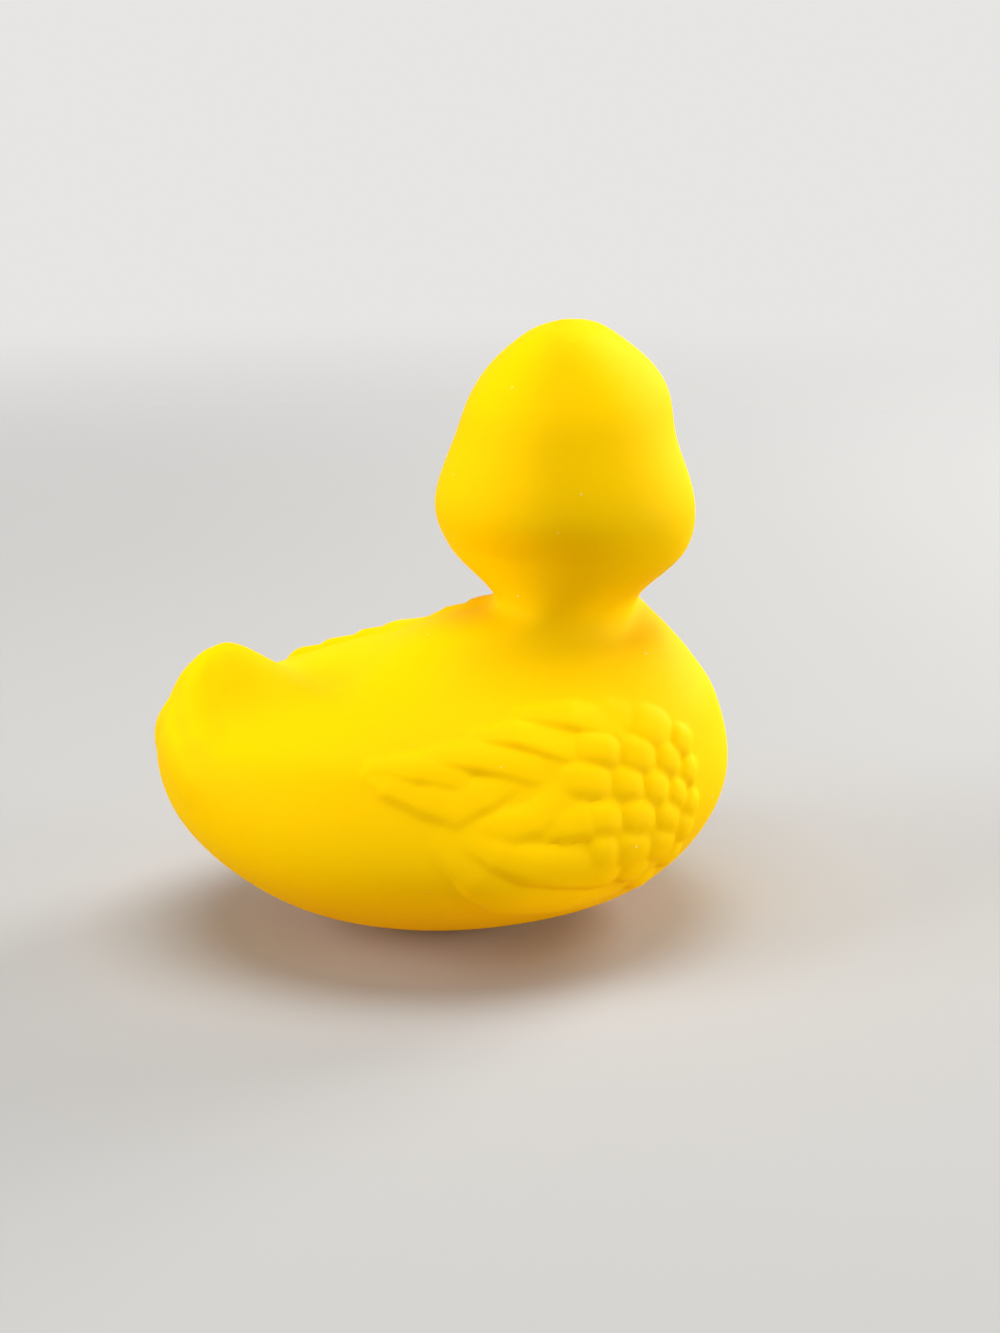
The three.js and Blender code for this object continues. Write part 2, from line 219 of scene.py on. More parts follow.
half_turn = spaced([0, 44, 118, 180], [22, 119, 52])
columns = np.concatenate([half_turn, [180], 360 - half_turn[:0:-1]])
rows_per_ring = [10, 38, 33, 20, 22, 8, 8, 14, 10, 15, 12, 14, 5]
levels = np.append(spaced(range(len(rings)), rows_per_ring), len(rings) - 1)
skin = skin_points(columns, levels)
swell = np.zeros(skin.shape[:2])
for centre, radius, rise in swells:
    swell += rise * np.exp(-((skin - centre) ** 2).sum(-1) / radius**2)
skin = skin + skin_normals(skin) * swell[..., None]
duck = loft("duck_skin", skin)
print("Skin grid:", skin.shape[:2], "->", len(duck.data.polygons), "faces")

# %% [markdown]
# ## Where the feathers sit
# Each wing starts at the shoulder with rows of small pillow-like scales, and every row grows into long
# pointed feathers toward the tail. A feather is noted as a line on the skin, with a radius at each end:
# equal radii give a scale, and shrinking ones give a tip. The direction toward the lower edge is noted
# too, because the feathers lie like shingles and drop away more steeply below than above. A scale is
# listed by its angle, level, length and width, and a fifth value makes it lower. A row along the back
# is almost flat on the right and high on the left, where it steps the outline. The notes become a small
# mesh of loose points, so the next step can read them.

# %% Feather notes
SCALE_RISE, FEATHER_RISE = 0.8, 0.85
UPPER_RISE, UPPER_ROOT_SHARE, UPPER_RADII = {-1: 0.1, 1: 1.1}, 0.4, (2.2, 2.6)
TAIL_FEATHER_RISE, TAIL_SHARES = 0.5, (0.6, 1, 1, 0.8, 0.1)
SCALE_LEAN, FEATHER_LEAN, UPPER_LEAN, TAIL_LEAN = 0.15, 0.5, -0.5, -0.25
SPREAD, DROP = 1.12, 0.6

scale_rows = [
    [(47.4, 2.95, 4.4, 5), (55, 3.45, 6.8, 6.8, 0.8), (63.8, 4.04, 6, 5.4, 0.4)],
    [(47.1, 2.62, 3.6, 4.6), (53.5, 2.82, 4.8, 5), (61.9, 2.98, 6, 5.6), (71.1, 3.31, 6.8, 5.6)],
    [(47.3, 2.3, 3.4, 4.4), (52.2, 2.48, 3.9, 4.4), (58.5, 2.61, 4.8, 5.2),
     (65.8, 2.72, 5.2, 4.9), (75.6, 2.83, 8, 5.4)],
    [(49.2, 2.09, 4.4, 4.4), (55.7, 2.31, 5.1, 4.4), (63.9, 2.42, 6, 4.9), (72.6, 2.49, 6.2, 4.8)],
    [(50.8, 1.77, 5, 4.5), (56.7, 2.03, 6, 5), (65, 2.13, 6.4, 5.2), (72.7, 2.2, 5.2, 5.3)],
    [(55.6, 1.51, 6, 4.5), (63, 1.83, 6.5, 4.5), (72.3, 1.94, 6.4, 4.8)],
]
lower_edges = [
    [(65.8, 3.7, 2.2, 0.4), (75.9, 4.14, 2.3, 1), (89, 4.4, 1.1, 0.4)],
    [(78.6, 3.37, 2.2, 0.45), (87.4, 3.87, 2.3, 1.15), (94.4, 4.02, 1.1, 0.45)],
    [(86.4, 2.99, 2.1, 0.4), (94.2, 3.35, 2.6, 0.9), (102.6, 3.49, 1.2, 0.35)],
    [(97.4, 2.96, 1.9, 0.4), (104.4, 3.09, 2.2, 0.9), (112.9, 3.23, 1.2, 0.3)],
    [(98.9, 2.65, 2.2, 0.45), (103.4, 2.74, 2.4, 0.65), (109.4, 2.88, 2, 0.65), (113.4, 3.04, 1.3, 0.2)],
    [(90.5, 2.87, 1.7, 0.25), (94.5, 2.75, 2.2, 0.65), (98.9, 2.65, 2.2, 0.55)],
    [(80.3, 2.7, 1.8, 0.4), (86.8, 2.52, 2, 0.9), (90.6, 2.49, 2.2, 0.9), (98.1, 2.54, 1.2, 0.2)],
    [(77, 2.46, 2.4, 0.9), (81.5, 2.46, 2, 0.8), (87.6, 2.45, 1, 0.3)],
    [(75.5, 1.97, 2.6, 0.8), (87.9, 2.16, 2.6, 1.35), (93.6, 2.28, 2.4, 1.1), (100.5, 2.49, 1.6, 0.1)],
    [(65.8, 1.27, 2.8, 0.4), (78.8, 1.51, 3.4, 0.9), (91.6, 1.73, 3.4, 1),
     (97.8, 2.06, 2.8, 0.85), (102.5, 2.39, 1.8, 0.2)],
]
upper_row = [(147, 6.9), (138, 6.44), (140, 6.02), (113, 5.14), (118, 4.85), (120, 4.46), (126, 4.28)]
tail_feathers = [
    [(176, 3.78, 2.2), (171.5, 3.62, 3), (164.5, 3.53, 3.3), (156.5, 3.39, 3), (148, 3.14, 1.6)],
    [(175, 3.21, 2.4), (170.5, 3.04, 3), (163.5, 2.84, 3.3), (158.5, 2.65, 3), (153, 2.48, 1.8)],
]
notes = []


def note(start, end, along, down, radii, rises, lean, stretch=1.0):
    """One line of a feather, with the directions, radii and rises that its relief needs."""
    along = along / np.linalg.norm(along)
    down = down - along * (down @ along)
    down = down / np.linalg.norm(down)
    start, end = start + DROP * down, end + DROP * down
    facts = {"span": (end - start) * MM, "along": along, "down": down, "lean": lean, "stretch": stretch}
    facts["radius"], facts["radius_change"] = radii[0] * MM, (radii[1] - radii[0]) * MM
    facts["rise"], facts["rise_change"] = rises[0] * MM, (rises[1] - rises[0]) * MM
    notes.append((tuple(start * MM), facts))


def downward(degrees, level):
    return skin_point(degrees, level - 0.05) - skin_point(degrees, level + 0.05)


def note_path(side, path, rises, lean):
    spots = [skin_point(side * stop[0], stop[1]) for stop in path]
    for place in range(len(path) - 1):
        a, b = path[place], path[place + 1]
        down = downward(side * (a[0] + b[0]) / 2, (a[1] + b[1]) / 2)
        start, end = spots[place], spots[place + 1]
        note(start, end, end - start, down, (a[2], b[2]), rises[place:place + 2], lean)


def note_scales(side, row):
    middles = [skin_point(side * spot[0], spot[1]) for spot in row]
    for place, (degrees, level, length, width, *share) in enumerate(row):
        along = middles[min(place + 1, len(row) - 1)] - middles[max(place - 1, 0)]
        radii = (SPREAD * width / 2, SPREAD * width / 2)
        note(middles[place], middles[place], along, downward(side * degrees, level), radii,
             [SCALE_RISE * (share[0] if share else 1)] * 2, SCALE_LEAN, width / length)


for side in (-1, 1):
    for row in scale_rows:
        note_scales(side, row)
    for path in lower_edges:
        note_path(side, path, [FEATHER_RISE * stop[3] for stop in path], FEATHER_LEAN)
    upper_rises = (UPPER_ROOT_SHARE * UPPER_RISE[side], UPPER_RISE[side])
    for pair in zip(upper_row, upper_row[1:]):
        path = [(*spot, radius) for spot, radius in zip(pair, UPPER_RADII)]
        note_path(side, path, upper_rises, UPPER_LEAN)
    for path in tail_feathers:
        note_path(side, path, [TAIL_FEATHER_RISE * share for share in TAIL_SHARES], TAIL_LEAN)

seed_mesh = bpy.data.meshes.new("feather_seeds")
seed_mesh.from_pydata([root for root, facts in notes], [], [])
for name in notes[0][1]:
    vector = name in ("span", "along", "down")
    attribute = seed_mesh.attributes.new(name, "FLOAT_VECTOR" if vector else "FLOAT", "POINT")
    values = np.array([facts[name] for root, facts in notes], np.float32)
    attribute.data.foreach_set("vector" if vector else "value", values.ravel())
seeds = bpy.data.objects.new("feather_seeds", seed_mesh)
bpy.context.scene.collection.objects.link(seeds)
print(len(notes), "feather lines noted")

# %% [markdown]
# ## Colours and the node helper
# Colours are written as they look on a screen, and one function turns them into the linear values that
# the renderer works with. One more function adds a node with its settings and links, for the relief
# tree as well as for the materials. A third one tells what the camera sees from light that only bounces,
# for the floor and the room.

# %% Colour and node helpers


def linear(hex_colour):
    channels = [int(hex_colour[place:place + 2], 16) / 255 for place in (0, 2, 4)]
    return (*[c / 12.92 if c <= 0.04045 else ((c + 0.055) / 1.055) ** 2.4 for c in channels], 1.0)


def add_node(tree, kind, inputs=None, **settings):
    node = tree.nodes.new(kind)
    for name, value in settings.items():
        setattr(node, name, value)
    for socket, value in (inputs or {}).items():
        if isinstance(value, bpy.types.NodeSocket):
            tree.links.new(value, node.inputs[socket])
        else:
            node.inputs[socket].default_value = value
    return node


def shown_share(tree):
    """One for what the camera sees, also by a mirror or through glass, and zero for bounced light."""
    path = add_node(tree, "ShaderNodeLightPath").outputs
    seen = add_node(tree, "ShaderNodeMath", {0: path["Is Camera Ray"], 1: path["Is Glossy Ray"]},
                    operation="MAXIMUM")
    shown = add_node(tree, "ShaderNodeMath", {0: seen.outputs[0], 1: path["Is Transmission Ray"]},
                     operation="MAXIMUM")
    return shown.outputs[0]


print("Vinyl yellow, linear:", [round(c, 3) for c in linear("FBC600")])

# %% [markdown]
# ## Soft yellow vinyl
# The duck is moulded from pigmented soft PVC. The mould wall was blasted, so the surface is matte and
# has no sharp highlight; a little light also travels under the surface and warms the shaded side. The
# pigment is even, with only a slow drift in tone. A few specks of pale dust cling to it, as on anything
# that has stood on a shelf. The eyes are painted on the same skin, so they are part of this material:
# two dark ovals in the head's own frame, a place that a mask on Object coordinates finds.

# %% Vinyl material
EYE_ANGLE, EYE_REACH, EYE_WIDTH, EYE_TALL = math.radians(46), 0.485 * HEAD_WIDTH, 5.4, 7.0
SPECK_CELL, SPECK_SIZE, SPECK_SHARE, SPECK_STRENGTH = 4.0, 0.045, 0.2, 0.5

vinyl = bpy.data.materials.new("soft_vinyl_yellow")
vinyl.use_nodes = True
tree = vinyl.node_tree
shader = tree.nodes["Principled BSDF"]
place = add_node(tree, "ShaderNodeTexCoord").outputs["Object"]

drift = add_node(tree, "ShaderNodeTexNoise", {"Vector": place, "Scale": 1 / (30 * MM), "Detail": 2.0})
yellow = add_node(tree, "ShaderNodeMix", {0: drift.outputs["Fac"], 6: linear("FBC600"), 7: linear("FDCB00")},
                  data_type="RGBA")
cells = add_node(tree, "ShaderNodeTexVoronoi",
                 {"Vector": place, "Scale": 1 / (SPECK_CELL * MM), "Randomness": 1.0})
near = add_node(tree, "ShaderNodeMath", {0: cells.outputs["Distance"], 1: SPECK_SIZE}, operation="LESS_THAN")
chosen = add_node(tree, "ShaderNodeSeparateColor", {"Color": cells.outputs["Color"]})
rare = add_node(tree, "ShaderNodeMath", {0: chosen.outputs[0], 1: SPECK_SHARE}, operation="LESS_THAN")
speck = add_node(tree, "ShaderNodeMath", {0: near.outputs[0], 1: rare.outputs[0]}, operation="MULTIPLY")
faint = add_node(tree, "ShaderNodeMath", {0: speck.outputs[0], 1: SPECK_STRENGTH}, operation="MULTIPLY")
dusty = add_node(tree, "ShaderNodeMix", {0: faint.outputs[0], 6: yellow.outputs[2], 7: linear("FFF2B0")},
                 data_type="RGBA")
print("Vinyl: slow drift of tone and rare specks")

# %% Eyes, sheen and grain
eye = np.array([EYE_REACH * math.cos(EYE_ANGLE), EYE_REACH * math.sin(EYE_ANGLE), EYE_HEIGHT])
turned = add_node(tree, "ShaderNodeMapping", {"Vector": place}, vector_type="TEXTURE")
turned.inputs["Rotation"].default_value = (0, 0, HEAD_TURN)
parts = add_node(tree, "ShaderNodeSeparateXYZ", {0: turned.outputs[0]})
either = add_node(tree, "ShaderNodeMath", {0: parts.outputs["Y"]}, operation="ABSOLUTE")
folded = add_node(tree, "ShaderNodeCombineXYZ",
                  {"X": parts.outputs["X"], "Y": either.outputs[0], "Z": parts.outputs["Z"]})
apart = add_node(tree, "ShaderNodeVectorMath", {0: folded.outputs[0], 1: tuple(eye * MM)},
                 operation="SUBTRACT")
half_sizes = (EYE_WIDTH / 2 * MM, EYE_WIDTH / 2 * MM, EYE_TALL / 2 * MM)
shaped = add_node(tree, "ShaderNodeVectorMath", {0: apart.outputs[0], 1: half_sizes}, operation="DIVIDE")
span = add_node(tree, "ShaderNodeVectorMath", {0: shaped.outputs[0]}, operation="LENGTH")
painted = add_node(tree, "ShaderNodeMapRange",
                   {"Value": span.outputs["Value"], "From Min": 1.04, "From Max": 0.98})
coloured = add_node(tree, "ShaderNodeMix", {0: painted.outputs[0], 6: dusty.outputs[2], 7: linear("17130F")},
                    data_type="RGBA")
tree.links.new(coloured.outputs[2], shader.inputs["Base Color"])

sheen = add_node(tree, "ShaderNodeMapRange", {"Value": drift.outputs["Fac"], "To Min": 0.56, "To Max": 0.64})
glossy = add_node(tree, "ShaderNodeMix", {0: painted.outputs[0], 2: sheen.outputs[0], 3: 0.22})
tree.links.new(glossy.outputs[0], shader.inputs["Roughness"])
grain = add_node(tree, "ShaderNodeTexNoise", {"Vector": place, "Scale": 1 / (0.5 * MM), "Detail": 3.0})
bump = add_node(tree, "ShaderNodeBump",
                {"Height": grain.outputs["Fac"], "Strength": 0.25, "Distance": 0.05 * MM})
tree.links.new(bump.outputs[0], shader.inputs["Normal"])
shader.inputs["Specular IOR Level"].default_value = 0.02
shader.inputs["Subsurface Weight"].default_value = 0.2
shader.inputs["Subsurface Radius"].default_value = (1.0, 0.55, 0.1)
shader.inputs["Subsurface Scale"].default_value = 3 * MM
print("Eyes painted at", np.round(eye, 1), "mm in the head's frame")

# %% [markdown]
# ## Orange bill paint
# The bill is sprayed through a mask after moulding. The paint is a thin vinyl lacquer, a little smoother
# than the bare skin, with a slight unevenness in its coverage.

# %% Bill paint material
bill_paint = bpy.data.materials.new("orange_vinyl_paint")
bill_paint.use_nodes = True
tree = bill_paint.node_tree
shader = tree.nodes["Principled BSDF"]
place = add_node(tree, "ShaderNodeTexCoord").outputs["Object"]
cover = add_node(tree, "ShaderNodeTexNoise", {"Vector": place, "Scale": 1 / (6 * MM), "Detail": 3.0})
orange = add_node(tree, "ShaderNodeMix", {0: cover.outputs["Fac"], 6: linear("E8730C"), 7: linear("F08318")},
                  data_type="RGBA")
tree.links.new(orange.outputs[2], shader.inputs["Base Color"])
sheen = add_node(tree, "ShaderNodeMapRange", {"Value": cover.outputs["Fac"], "To Min": 0.34, "To Max": 0.44})
tree.links.new(sheen.outputs[0], shader.inputs["Roughness"])
shader.inputs["Specular IOR Level"].default_value = 0.4
print("Bill paint made")

# %% [markdown]
# ## Raising the feathers
# This Geometry Nodes tree walks through the noted lines. For each one it finds how far every point of
# the skin is from the line, measures that against the line's radius, and turns it into a pillow: high in
# the middle and steep at the rim. A smooth maximum keeps the highest pillow at each point and rounds the
# groove between neighbours, as a mould cutter's round tool would. At the end the skin moves out along
# its normal. Sculpting could do this by eye, but here a change of one size moves all the feathers.

# %% Feather relief tree
relief_tree = bpy.data.node_groups.new("feather_relief", "GeometryNodeTree")
sockets = relief_tree.interface
sockets.new_socket("Skin", in_out="INPUT", socket_type="NodeSocketGeometry")
feather_input = sockets.new_socket("Feather lines", in_out="INPUT", socket_type="NodeSocketObject")
groove_input = sockets.new_socket("Groove rounding", in_out="INPUT", socket_type="NodeSocketFloat")
fullness_input = sockets.new_socket("Pillow fullness", in_out="INPUT", socket_type="NodeSocketFloat")
square_input = sockets.new_socket("Squareness", in_out="INPUT", socket_type="NodeSocketFloat")
finish_input = sockets.new_socket("Finish", in_out="INPUT", socket_type="NodeSocketMaterial")
sockets.new_socket("Duck", in_out="OUTPUT", socket_type="NodeSocketGeometry")

given = add_node(relief_tree, "NodeGroupInput").outputs
listed = add_node(relief_tree, "GeometryNodeObjectInfo", {"Object": given["Feather lines"]})
lines = listed.outputs["Geometry"]
count = add_node(relief_tree, "GeometryNodeAttributeDomainSize", {"Geometry": lines}).outputs["Point Count"]
flat = add_node(relief_tree, "GeometryNodeStoreNamedAttribute",
                {"Geometry": given["Skin"], "Name": "relief", "Value": -1 * MM})
first = add_node(relief_tree, "GeometryNodeRepeatInput")
last = add_node(relief_tree, "GeometryNodeRepeatOutput")
first.pair_with_output(last)
relief_tree.links.new(count, first.inputs["Iterations"])
relief_tree.links.new(flat.outputs[0], first.inputs["Geometry"])
turn = first.outputs["Iteration"]
point = add_node(relief_tree, "GeometryNodeInputPosition").outputs[0]
root = add_node(relief_tree, "GeometryNodeSampleIndex", {"Geometry": lines, "Value": point, "Index": turn},
                data_type="FLOAT_VECTOR")
read = {"root": root.outputs[0]}
for name in notes[0][1]:
    kind = "FLOAT_VECTOR" if name in ("span", "along", "down") else "FLOAT"
    value = add_node(relief_tree, "GeometryNodeInputNamedAttribute", {"Name": name}, data_type=kind)
    sample = add_node(relief_tree, "GeometryNodeSampleIndex", data_type=kind)
    relief_tree.links.new(lines, sample.inputs["Geometry"])
    relief_tree.links.new(value.outputs[0], sample.inputs["Value"])
    relief_tree.links.new(turn, sample.inputs["Index"])
    read[name] = sample.outputs[0]
print("Relief tree reads", len(read), "facts for each line")

# %% Distance from a line, and the pillow over it
offset = add_node(relief_tree, "ShaderNodeVectorMath", {0: point, 1: read["root"]},
                  operation="SUBTRACT").outputs[0]
ahead = add_node(relief_tree, "ShaderNodeVectorMath", {0: offset, 1: read["span"]}, operation="DOT_PRODUCT")
length = add_node(relief_tree, "ShaderNodeVectorMath", {0: read["span"], 1: read["span"]},
                  operation="DOT_PRODUCT")
safe = add_node(relief_tree, "ShaderNodeMath", {0: length.outputs["Value"], 1: 1e-12}, operation="MAXIMUM")
share = add_node(relief_tree, "ShaderNodeMath", {0: ahead.outputs["Value"], 1: safe.outputs[0]},
                 operation="DIVIDE", use_clamp=True).outputs[0]
foot = add_node(relief_tree, "ShaderNodeVectorMath", {0: read["span"], "Scale": share}, operation="SCALE")
away = add_node(relief_tree, "ShaderNodeVectorMath", {0: offset, 1: foot.outputs[0]},
                operation="SUBTRACT").outputs[0]
outward = add_node(relief_tree, "ShaderNodeVectorMath", {0: read["along"], 1: read["down"]},
                   operation="CROSS_PRODUCT").outputs[0]
beside = []
for way in (read["along"], read["down"], outward):
    part = add_node(relief_tree, "ShaderNodeVectorMath", {0: away, 1: way}, operation="DOT_PRODUCT")
    beside.append(part.outputs["Value"])
shrunk = add_node(relief_tree, "ShaderNodeMath", {0: beside[0], 1: read["stretch"]}, operation="MULTIPLY")
sign = add_node(relief_tree, "ShaderNodeMath", {0: beside[1]}, operation="SIGN").outputs[0]
steeper = add_node(relief_tree, "ShaderNodeMath", {0: sign, 1: read["lean"], 2: 1.0},
                   operation="MULTIPLY_ADD")
leaned = add_node(relief_tree, "ShaderNodeMath", {0: beside[1], 1: steeper.outputs[0]}, operation="MULTIPLY")
gathered = add_node(relief_tree, "ShaderNodeCombineXYZ",
                    {0: shrunk.outputs[0], 1: leaned.outputs[0], 2: beside[2]})
sides = add_node(relief_tree, "ShaderNodeVectorMath", {0: gathered.outputs[0]}, operation="ABSOLUTE")
radius = add_node(relief_tree, "ShaderNodeMath", {0: share, 1: read["radius_change"], 2: read["radius"]},
                  operation="MULTIPLY_ADD")
rise = add_node(relief_tree, "ShaderNodeMath", {0: share, 1: read["rise_change"], 2: read["rise"]},
                operation="MULTIPLY_ADD")
inverse = add_node(relief_tree, "ShaderNodeMath", {0: 1.0, 1: radius.outputs[0]}, operation="DIVIDE")
scaled = add_node(relief_tree, "ShaderNodeVectorMath", {0: sides.outputs[0], "Scale": inverse.outputs[0]},
                  operation="SCALE")
powers = add_node(relief_tree, "ShaderNodeVectorMath", {0: scaled.outputs[0], 1: given["Squareness"]},
                  operation="POWER")
added = add_node(relief_tree, "ShaderNodeVectorMath", {0: powers.outputs[0], 1: (1, 1, 1)},
                 operation="DOT_PRODUCT")
root_of = add_node(relief_tree, "ShaderNodeMath", {0: 1.0, 1: given["Squareness"]}, operation="DIVIDE")
ratio = add_node(relief_tree, "ShaderNodeMath", {0: added.outputs["Value"], 1: root_of.outputs[0]},
                 operation="POWER")
falling = add_node(relief_tree, "ShaderNodeMath", {0: ratio.outputs[0], 1: given["Pillow fullness"]},
                   operation="POWER")
dome = add_node(relief_tree, "ShaderNodeMath", {0: 1.0, 1: falling.outputs[0]}, operation="SUBTRACT")
pillow = add_node(relief_tree, "ShaderNodeMath", {0: dome.outputs[0], 1: rise.outputs[0]},
                  operation="MULTIPLY")
so_far = add_node(relief_tree, "GeometryNodeInputNamedAttribute", {"Name": "relief"}, data_type="FLOAT")
joined = add_node(relief_tree, "ShaderNodeMath",
                  {0: so_far.outputs[0], 1: pillow.outputs[0], 2: given["Groove rounding"]},
                  operation="SMOOTH_MAX")
stored = add_node(relief_tree, "GeometryNodeStoreNamedAttribute",
                  {"Geometry": first.outputs["Geometry"], "Name": "relief", "Value": joined.outputs[0]})
relief_tree.links.new(stored.outputs[0], last.inputs["Geometry"])
print("Relief tree has", len(relief_tree.nodes), "nodes so far")

# %% Move the skin and make it a plain mesh
total = add_node(relief_tree, "GeometryNodeInputNamedAttribute", {"Name": "relief"}, data_type="FLOAT")
raised = add_node(relief_tree, "ShaderNodeMath", {0: total.outputs[0], 1: 0.0, 2: given["Groove rounding"]},
                  operation="SMOOTH_MAX")
normal = add_node(relief_tree, "GeometryNodeInputNormal")
push = add_node(relief_tree, "ShaderNodeVectorMath", {0: normal.outputs[0], "Scale": raised.outputs[0]},
                operation="SCALE")
moved = add_node(relief_tree, "GeometryNodeSetPosition",
                 {"Geometry": last.outputs["Geometry"], "Offset": push.outputs[0]})
tidy = add_node(relief_tree, "GeometryNodeRemoveAttribute", {"Geometry": moved.outputs[0], "Name": "relief"})
real = add_node(relief_tree, "GeometryNodeRealizeInstances", {"Geometry": tidy.outputs[0]})
finished = add_node(relief_tree, "GeometryNodeSetMaterial",
                    {"Geometry": real.outputs[0], "Material": given["Finish"]})
add_node(relief_tree, "NodeGroupOutput", {"Duck": finished.outputs[0]})

GROOVE_ROUNDING, PILLOW_FULLNESS, SQUARENESS = 0.2, 2.6, 2.6


def plain_mesh(piece):
    """Turns what the modifiers show into the piece's own mesh."""
    seen = piece.evaluated_get(bpy.context.evaluated_depsgraph_get())
    mesh = bpy.data.meshes.new_from_object(seen)
    piece.modifiers.clear()
    piece.data = mesh


feathering = duck.modifiers.new("feathers", "NODES")
feathering.node_group = relief_tree
feathering[feather_input.identifier] = seeds
feathering[groove_input.identifier] = GROOVE_ROUNDING * MM
feathering[fullness_input.identifier] = PILLOW_FULLNESS
feathering[square_input.identifier] = SQUARENESS
feathering[finish_input.identifier] = vinyl
plain_mesh(duck)
bpy.data.objects.remove(seeds)
print("Feathered skin:", len(duck.data.vertices), "points")

# %% [markdown]
# ## The bill, the hollow and the vent
# The bill is a flat spoon with a longer upper half and a mouth line. It faces away in the photograph, so
# its form is the usual one for such a duck. The inside follows the skin one wall further in, and a small
# vent lets the air out when the duck is squeezed. Boolean steps join the bill and cut the hollow and the
# vent, so the duck stays one closed body with a real wall.

# %% Bill, hollow and vent shapes
BILL_LENGTH, BILL_WIDTH, BILL_THICKNESS = 11.5, 20.0, 13.0
WALL, VENT = 2.0, 5.0

forward = np.array([math.cos(HEAD_TURN), math.sin(HEAD_TURN), 0])
sideways = np.array([-math.sin(HEAD_TURN), math.cos(HEAD_TURN), 0])
angle = np.radians(spaced([0, 360], [96]))
bill_rows = []
for share in np.linspace(0, 1, 40):
    advance = math.sin(share * math.pi / 2)
    rounding = math.cos(0.97 * share * math.pi / 2) ** 0.6
    half_width = BILL_WIDTH / 2 * rounding * (1 + 0.15 * math.sin(share * math.pi))
    half_thickness = BILL_THICKNESS / 2 * rounding * (1 - 0.3 * advance)
    upper = np.sin(angle)
    mouth = 1 - 0.12 * np.exp(-((upper / 0.2) ** 2))
    lower = 1 - 0.14 * np.sqrt(np.clip(-upper, 0, 1))
    reach = 0.3 * HEAD_LENGTH + (0.2 * HEAD_LENGTH + BILL_LENGTH) * advance * mouth * lower
    row = np.outer(reach, forward) + np.outer(half_width * np.cos(angle) * mouth * lower, sideways)
    row[:, 0] += NECK_FORWARD
    row[:, 2] = rings[9]["height"] + 0.025 * HEAD_HEIGHT + half_thickness * upper
    row[:, 2] += 0.15 * BILL_THICKNESS * advance**2
    bill_rows.append(row)
bill = loft("bill", np.array(bill_rows))
bill.data.materials.append(bill_paint)

hollow_rows = [3, 4, 4, 4, 3, 2, 2, 4, 2, 4, 3, 3]
hollow_levels = np.append(spaced(range(len(hollow_rows) + 1), hollow_rows), len(hollow_rows))
inner = skin_points(spaced([0, 360], [72]), hollow_levels)
inner = inner - WALL * skin_normals(inner)
inner[0, :, 2] = WALL
hollow = loft("hollow", inner)
hollow.data.materials.append(vinyl)

rim = np.radians(spaced([0, 360], [48]))
circle = np.stack([BASE_FORWARD + VENT / 2 * np.cos(rim), VENT / 2 * np.sin(rim), 0 * rim], -1)
vent = loft("vent", np.stack([circle + [0, 0, z] for z in (-2 * WALL, 2 * WALL)]))
vent.data.materials.append(vinyl)

for cutter, operation in ((bill, "UNION"), (hollow, "DIFFERENCE"), (vent, "DIFFERENCE")):
    step = duck.modifiers.new(cutter.name, "BOOLEAN")
    step.object = cutter
    step.operation = operation
    step.solver = "EXACT"
    step.material_mode = "TRANSFER"
    plain_mesh(duck)
    bpy.data.objects.remove(cutter)
    print(operation, "leaves", len(duck.data.polygons), "faces")

# %% [markdown]
# ## Set in the frame
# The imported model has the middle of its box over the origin, so the duck moves there too. Edges at the
# base, the vent and the root of the bill stay crisp; all the rest is shaded smooth.

SHARP_ANGLE = math.radians(38)

duck.name = "duck_body"
duck.data.name = "duck_body"
points = np.empty(3 * len(duck.data.vertices), np.float32)
duck.data.vertices.foreach_get("co", points)
points = points.reshape(-1, 3)
own_middle = (points.min(0) + points.max(0)) / 2
cad_middle = (cad_low + cad_high) / 2
shift = np.array([cad_middle.x - own_middle[0], cad_middle.y - own_middle[1], 0.0])
duck.data.vertices.foreach_set("co", (points + shift).astype(np.float32).ravel())
duck.data.polygons.foreach_set("use_smooth", [True] * len(duck.data.polygons))
duck.data.set_sharp_from_angle(angle=SHARP_ANGLE)
duck.data.update()
duck.data.calc_loop_triangles()
neck_spot = (NECK_FORWARD * MM + shift[0], shift[1], 0)
turned.inputs["Location"].default_value = neck_spot

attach(duck, "root")
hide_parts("duck")
print("Duck:", len(duck.data.loop_triangles), "triangles, moved by", np.round(shift / MM, 3), "mm")

# %% [markdown]
# ## Floor, light and camera
# A plain pale floor carries the duck's shadow. What bounces off the floor onto the duck is dimmer than
# the floor looks, as on a dark table, so the belly keeps its shade. Only close around the duck is the
# bounced colour painted warm: a painted reflection of the duck's yellow that warms its underside. A broad
# lamp hangs above, and soft ones stand low around the duck, most of them at its sides and behind. They
# brighten its edges and leave a soft shade below the head and on the neck. The camera looks from the
# duck's right, a little from behind and above.

# %% Floor
FLOOR_HALF = 0.8
floor_mesh = bpy.data.meshes.new("floor")
floor_mesh.from_pydata([(x * FLOOR_HALF, y * FLOOR_HALF, 0) for x, y in ((-1, -1), (1, -1), (1, 1), (-1, 1))],
                       [], [(0, 1, 2, 3)])
floor = bpy.data.objects.new("floor", floor_mesh)
bpy.context.scene.collection.objects.link(floor)
paper = bpy.data.materials.new("matte_backdrop_paper")
paper.use_nodes = True
tree = paper.node_tree
shader = tree.nodes["Principled BSDF"]
shader.inputs["Roughness"].default_value = 0.9
shader.inputs["Specular IOR Level"].default_value = 0.1
shown = shown_share(tree)
spot = add_node(tree, "ShaderNodeTexCoord").outputs["Object"]
radius = add_node(tree, "ShaderNodeVectorMath", {0: spot}, operation="LENGTH")
# Painted reflection: bounced light sees the floor warm close around the duck, as its yellow would tint it.
painted_reflection_fade = add_node(tree, "ShaderNodeMapRange",
                {"Value": radius.outputs["Value"], "From Min": 0.02, "From Max": 0.1},
                interpolation_type="SMOOTHSTEP")
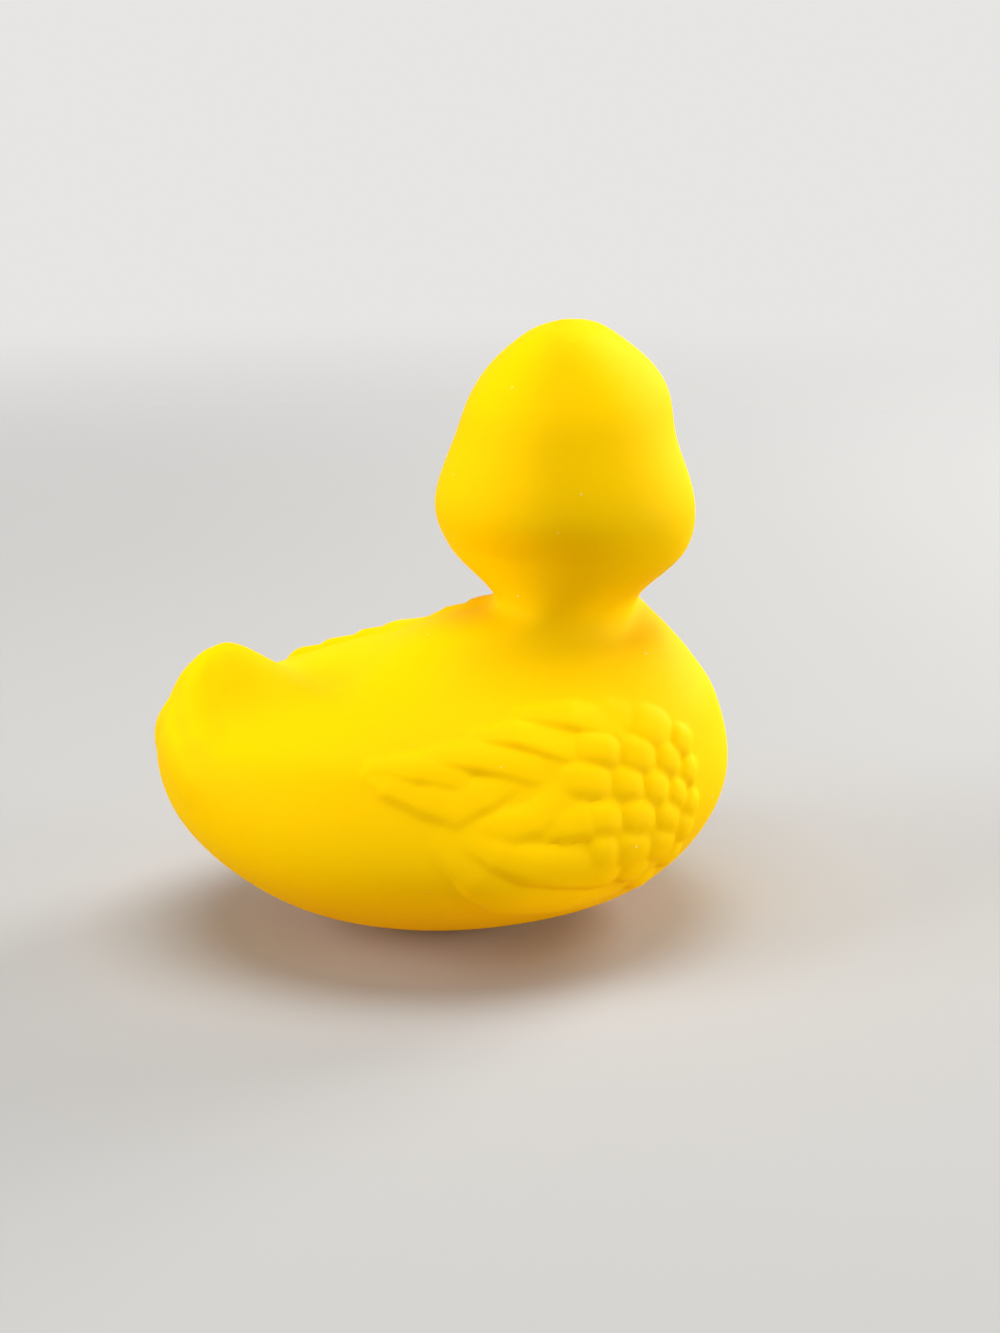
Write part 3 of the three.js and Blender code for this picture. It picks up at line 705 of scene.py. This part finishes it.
bounce = add_node(tree, "ShaderNodeMix", {0: painted_reflection_fade.outputs[0], 6: linear("E0BE78"), 7: linear("5A5448")},
                  data_type="RGBA")
tone = add_node(tree, "ShaderNodeMix", {0: shown, 6: bounce.outputs[2], 7: linear("B2B1AF")},
                data_type="RGBA")
tree.links.new(tone.outputs[2], shader.inputs["Base Color"])
fade = add_node(tree, "ShaderNodeMapRange",
                {"Value": radius.outputs["Value"], "From Min": 0.2, "From Max": 0.7},
                interpolation_type="SMOOTHSTEP")
clear = add_node(tree, "ShaderNodeBsdfTransparent")
edge = add_node(tree, "ShaderNodeMixShader", {0: fade.outputs[0], 1: shader.outputs[0], 2: clear.outputs[0]})
tree.links.new(edge.outputs[0], tree.nodes["Material Output"].inputs["Surface"])
floor_mesh.materials.append(paper)
print("Floor of", 2 * FLOOR_HALF, "m")

# %% Lamps and world
AIM_FORWARD, AIM_HEIGHT = 9.0, 39.7
LOOK_AT = Vector((cad_middle.x + AIM_FORWARD * MM, 0, AIM_HEIGHT * MM))
for name, spot, size, power in (
    ("overhead", (0.0, 0.0, 0.85), 0.7, 5.8),
    ("left", (-0.75, -0.05, 0.35), 0.5, 3.7),
    ("low_rear_left", (-0.7, 0.3, 0.12), 0.3, 1.1),
    ("low_right", (0.75, -0.25, 0.1), 0.3, 4.0),
    ("rear_right", (0.65, 0.35, 0.35), 0.4, 5.2),
    ("low_front", (-0.35, -0.7, 0.12), 0.4, 1.8),
):
    lamp = bpy.data.lights.new(name, "AREA")
    lamp.shape = "DISK"
    lamp.size = size
    lamp.energy = power
    stand = bpy.data.objects.new(name, lamp)
    stand.location = spot
    stand.rotation_euler = (LOOK_AT - Vector(spot)).to_track_quat("-Z", "Y").to_euler()
    bpy.context.scene.collection.objects.link(stand)
world = bpy.data.worlds.new("studio")
world.use_nodes = True
tree = world.node_tree
sky = tree.nodes["Background"]
shown = shown_share(tree)
room = add_node(tree, "ShaderNodeMix", {0: shown, 6: linear("717171"), 7: linear("E6E5E3")},
                data_type="RGBA")
tree.links.new(room.outputs[2], sky.inputs["Color"])
bpy.context.scene.world = world
print("Six lamps and a dim room")

# %% Camera
AZIMUTH, ELEVATION, DISTANCE = math.radians(-15), math.radians(16), 0.38
FOCAL_PIXELS, IMAGE_HEIGHT, SENSOR = 2420, 1333, 36.0
back = Vector((math.sin(AZIMUTH) * math.cos(ELEVATION), -math.cos(AZIMUTH) * math.cos(ELEVATION),
               math.sin(ELEVATION)))
lens = bpy.data.cameras.new("camera")
lens.sensor_width = SENSOR
lens.lens = FOCAL_PIXELS / IMAGE_HEIGHT * SENSOR
camera = bpy.data.objects.new("camera", lens)
camera.location = LOOK_AT + back * DISTANCE
camera.rotation_euler = (-back).to_track_quat("-Z", "Y").to_euler()
bpy.context.scene.collection.objects.link(camera)
bpy.context.scene.camera = camera
bpy.context.scene.view_settings.view_transform = "Standard"
print("Camera lens:", round(lens.lens, 2), "mm")
